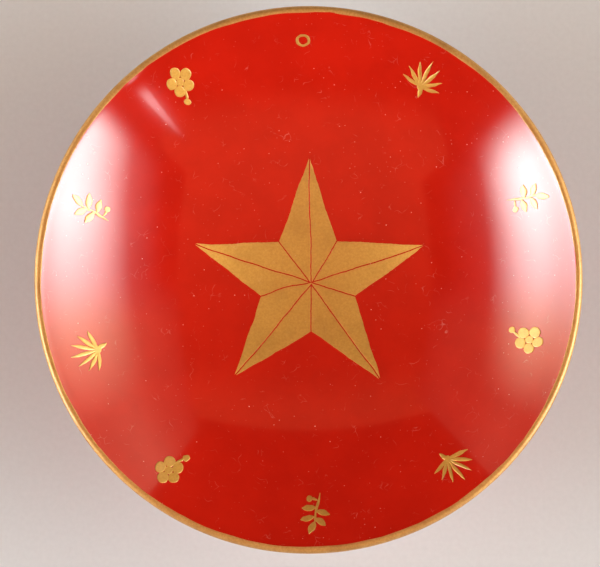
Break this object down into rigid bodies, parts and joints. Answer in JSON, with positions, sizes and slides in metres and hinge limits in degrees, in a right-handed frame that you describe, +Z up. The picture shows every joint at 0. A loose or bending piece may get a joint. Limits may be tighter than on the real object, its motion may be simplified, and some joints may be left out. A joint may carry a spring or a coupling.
{
  "type": "sake cup",
  "caption": "Shallow footed drinking cup of turned wood under red lacquer, with a gilded lip, a faceted gold star and gold plant marks on the drinking surface.",
  "frame": {"origin": "centre of the foot ring's standing edge, on the table", "axes": "+Z up along the cup's axis, +Y towards the small gold ring and the star's top point"},
  "size_m": [0.1182, 0.1182, 0.0299],
  "materials": {
    "turned_wood": "turned and sealed, unseen under the lacquer",
    "inner_red_lacquer": "vermilion lacquer, polished to a deep gloss",
    "outer_red_lacquer": "vermilion lacquer, glossy as brushed",
    "lip_gold": "gold powder paint, burnished on the lip and a little worn",
    "painted_gold": "satin gold powder paint with a fine grain"
  },
  "bodies": {
    "root": {"wood_core": "turned_wood", "inner_lacquer": "inner_red_lacquer", "outer_lacquer": "outer_red_lacquer", "foot_lacquer": "outer_red_lacquer", "base_lacquer": "outer_red_lacquer", "rim_gilding": "lip_gold", "star_facet_01": "painted_gold", "star_facet_02": "painted_gold", "star_facet_03": "painted_gold", "star_facet_04": "painted_gold", "star_facet_05": "painted_gold", "star_facet_06": "painted_gold", "star_facet_07": "painted_gold", "star_facet_08": "painted_gold", "star_facet_09": "painted_gold", "star_facet_10": "painted_gold", "ring_mark": "painted_gold", "pine_mark_1": "painted_gold", "sprig_mark_1": "painted_gold", "plum_mark_1": "painted_gold", "pine_mark_2": "painted_gold", "sprig_mark_2": "painted_gold", "plum_mark_2": "painted_gold", "pine_mark_3": "painted_gold", "sprig_mark_3": "painted_gold", "plum_mark_3": "painted_gold"}
  },
  "joints": []
}
